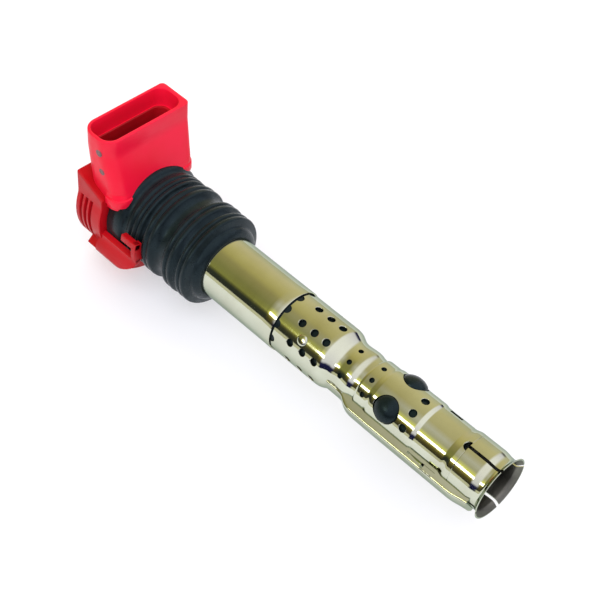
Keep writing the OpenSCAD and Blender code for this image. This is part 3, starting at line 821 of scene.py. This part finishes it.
def curved_block(d0, d1, r0, r1, f0, f1, soft=0.25):
    """Block with rounded edges, bent round the shaft."""
    rm = (r0 + r1) / 2
    arc = math.radians(f1 - f0) * rm
    bm = bmesh.new()
    bmesh.ops.create_cube(bm, size=1.0)
    bmesh.ops.scale(bm, vec=(d0 - d1, arc, r1 - r0), verts=bm.verts)
    bmesh.ops.bevel(bm, geom=list(bm.edges), offset=soft, segments=3, profile=0.5, affect="EDGES")
    n = max(2, int((f1 - f0) / 2.0))
    for k in range(1, n):
        y = -arc / 2 + arc * k / n
        if abs(y) > arc / 2 - soft * 1.2:
            continue
        bmesh.ops.bisect_plane(bm, geom=list(bm.verts) + list(bm.edges) + list(bm.faces),
            plane_co=(0, y, 0), plane_no=(0, 1, 0))
    bm.verts.index_update()
    V, F = [], []
    for v in bm.verts:
        f = math.radians((f0 + f1) / 2) + v.co.y / rm
        r = rm + v.co.z
        V.append((at((d0 + d1) / 2) + v.co.x, r * math.cos(f), r * math.sin(f)))
    for g in bm.faces:
        F.append(tuple(v.index for v in g.verts))
    bm.free()
    return V, F


def lug():
    """Solid lug on the flange whose front edge slants back from the hook's bar."""
    rows = []
    for f in [188.6, 188.8, 189.2] + list(range(190, 257, 2)) + [256.8, 257.4, 257.6]:
        g = 0.35 if f in (188.6, 257.6) else 0.12 if f in (188.8, 257.4) else 0.0
        front = 147.2 + 11.3 * step(f, 194, 214) + g
        top = 20.25 + 4.0 * step(f, 191, 206) - g
        line = [(166.4, 18.25), (166.4, top), (front + 0.35, top), (front + 0.1, top - 0.1),
            (front, top - 0.35), (front, 18.25)]
        a = math.radians(f)
        rows.append([(at(d), r * math.cos(a), r * math.sin(a)) for d, r in line])
    return loft(rows, True, True)


V, F = merge(lug(), curved_block(149.3, 147.2, 17.2, 20.25, 167, 192),
    curved_block(154.6, 147.2, 17.9, 20.25, 167, 174.5))
make("cap_hook", V, F, "red_cap_plastic", "body", (), 40)

# ------------------------------------------------------------------ set, lights, camera

FLOOR_LONG, FLOOR_DEEP = 2.4, 1.765
fm, ft, fb = tree("Floor")
ft.links.new(ramp(ft, noise(ft, 9, 4), [(0.3, (0.51, 0.51, 0.52)), (0.7, (0.54, 0.54, 0.55))]),
    fb.inputs["Base Color"])
fb.inputs["Emission Color"].default_value = (0.96, 0.98, 1.0, 1)
fb.inputs["Emission Strength"].default_value = 0.44
fb.inputs["Roughness"].default_value = 0.75
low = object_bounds()[0][2]
bpy.ops.mesh.primitive_plane_add(size=1, location=(0, 0, 0))
floor = bpy.context.active_object
floor.name = "floor"
floor.data.transform(Matrix.Diagonal((FLOOR_LONG, FLOOR_DEEP, 1, 1)))
floor.location = (-0.1, FLOOR_DEEP / 2 - 0.165, low - 0.0006)
floor.data.materials.append(fm)

world = bpy.data.worlds.new("Studio")
bpy.context.scene.world = world
world.use_nodes = True
t = world.node_tree
bg = t.nodes["Background"]
co = node(t, "ShaderNodeTexCoord")
sep = node(t, "ShaderNodeSeparateXYZ")
t.links.new(co.outputs["Generated"], sep.inputs["Vector"])
ang = node(t, "ShaderNodeMath", operation="ARCTAN2")
t.links.new(sep.outputs["Z"], ang.inputs[0])
t.links.new(sep.outputs["Y"], ang.inputs[1])
fac = spread(t, ang.outputs[0], 0.0, 1.0, 0.0, math.pi)
# a warm room with a dark far wall, seen along the shaft's back half
room = ramp(t, fac, [(0.0, (0.78, 0.74, 0.54)), (0.14, (0.86, 0.74, 0.46)), (0.32, (0.76, 0.65, 0.30)),
    (0.46, (0.62, 0.53, 0.20)),
                     (0.56, (0.43, 0.37, 0.15)), (0.72, (0.31, 0.29, 0.10)), (0.84, (0.31, 0.30, 0.08)),
                     (0.872, (0.15, 0.145, 0.045)),
                     (0.91, (0.045, 0.05, 0.035)), (1.0, (0.03, 0.035, 0.03))])
# the same room nearer the plug's end, with a bright lamp-lit strip
near = ramp(t, fac, [(0.0, (0.78, 0.74, 0.54)), (0.2, (0.82, 0.72, 0.40)), (0.5, (0.66, 0.58, 0.32)),
    (0.62, (0.74, 0.70, 0.60)),
                     (0.72, (0.62, 0.58, 0.40)), (0.80, (1.1, 1.05, 0.25)), (0.845, (2.4, 2.2, 0.45)),
                     (0.875, (0.42, 0.34, 0.07)),
                     (0.92, (0.14, 0.11, 0.03)), (1.0, (0.03, 0.03, 0.02))])
side_sky = ramp(t, spread(t, sep.outputs["Z"], 0.0, 1.0, -0.2, 0.9),
    [(0.0, (0.01, 0.012, 0.05)), (0.30, (0.02, 0.02, 0.10)), (0.42, (1.0, 0.95, 1.1)),
    (1.0, (1.25, 1.2, 1.25))])


def blend_colours(fac, a, b):
    m = node(t, "ShaderNodeMix", data_type="RGBA")
    t.links.new(fac, m.inputs["Factor"])
    sockets = [i for i in m.inputs if i.type == "RGBA"]
    t.links.new(a, sockets[0])
    t.links.new(b, sockets[1])
    return [o for o in m.outputs if o.type == "RGBA"][0]


warm = blend_colours(spread(t, sep.outputs["X"], 0.0, 1.0, -0.46, -0.30), room, near)
full = blend_colours(spread(t, sep.outputs["X"], 0.0, 1.0, -0.20, -0.04), warm, side_sky)
path = node(t, "ShaderNodeLightPath")
plain = node(t, "ShaderNodeRGB")
plain.outputs[0].default_value = (0.98, 0.98, 0.99, 1)
t.links.new(blend_colours(path.outputs["Is Camera Ray"], full, plain.outputs[0]), bg.inputs["Color"])
bg.inputs["Strength"].default_value = 1.0


def light(name, size, power, place, aim, colour=(1, 1, 1), glossy=True):
    L = bpy.data.lights.new(name, "AREA")
    L.shape = "RECTANGLE"
    L.size, L.size_y = size
    L.energy = power
    L.color = colour
    o = bpy.data.objects.new(name, L)
    bpy.context.scene.collection.objects.link(o)
    o.location = place
    o.rotation_euler = (Vector(aim) - Vector(place)).to_track_quat("-Z", "Y").to_euler()
    o.visible_glossy = glossy
    return o


light("Key", (0.9, 0.9), 7.0, (0.25, -0.55, 0.95), (-0.09, 0, 0), (0.92, 0.96, 1.16), False)
light("Fill", (1.2, 0.8), 3.0, (-0.6, 0.5, 0.9), (-0.09, 0, 0), (0.90, 0.96, 1.2), False)
light("Front", (0.35, 0.12), 0.8, (-0.25, -0.75, 0.42), (-0.15, 0, 0), (1.0, 0.98, 0.95))

cam = bpy.data.cameras.new("Camera")
cam.lens = 84
cam.sensor_width = 36
cam.clip_start = 0.01
cam.clip_end = 20
eye = bpy.data.objects.new("Camera", cam)
bpy.context.scene.collection.objects.link(eye)
azimuth, elevation, roll = math.radians(40.83), math.radians(47.75), math.radians(6.09)
right = Vector((math.cos(azimuth), math.sin(azimuth), 0))
back = Vector((math.sin(azimuth) * math.cos(elevation), -math.cos(azimuth) * math.cos(elevation),
    math.sin(elevation)))
up = back.cross(right)
r2 = math.cos(roll) * right + math.sin(roll) * up
u2 = -math.sin(roll) * right + math.cos(roll) * up
eye.matrix_world = Matrix(((r2.x, u2.x, back.x, 0.1131), (r2.y, u2.y, back.y, -0.2286),
    (r2.z, u2.z, back.z, 0.3445), (0, 0, 0, 1)))
bpy.context.scene.camera = eye
sc = bpy.context.scene
sc.view_settings.view_transform = "Standard"
sc.view_settings.exposure = 0.0
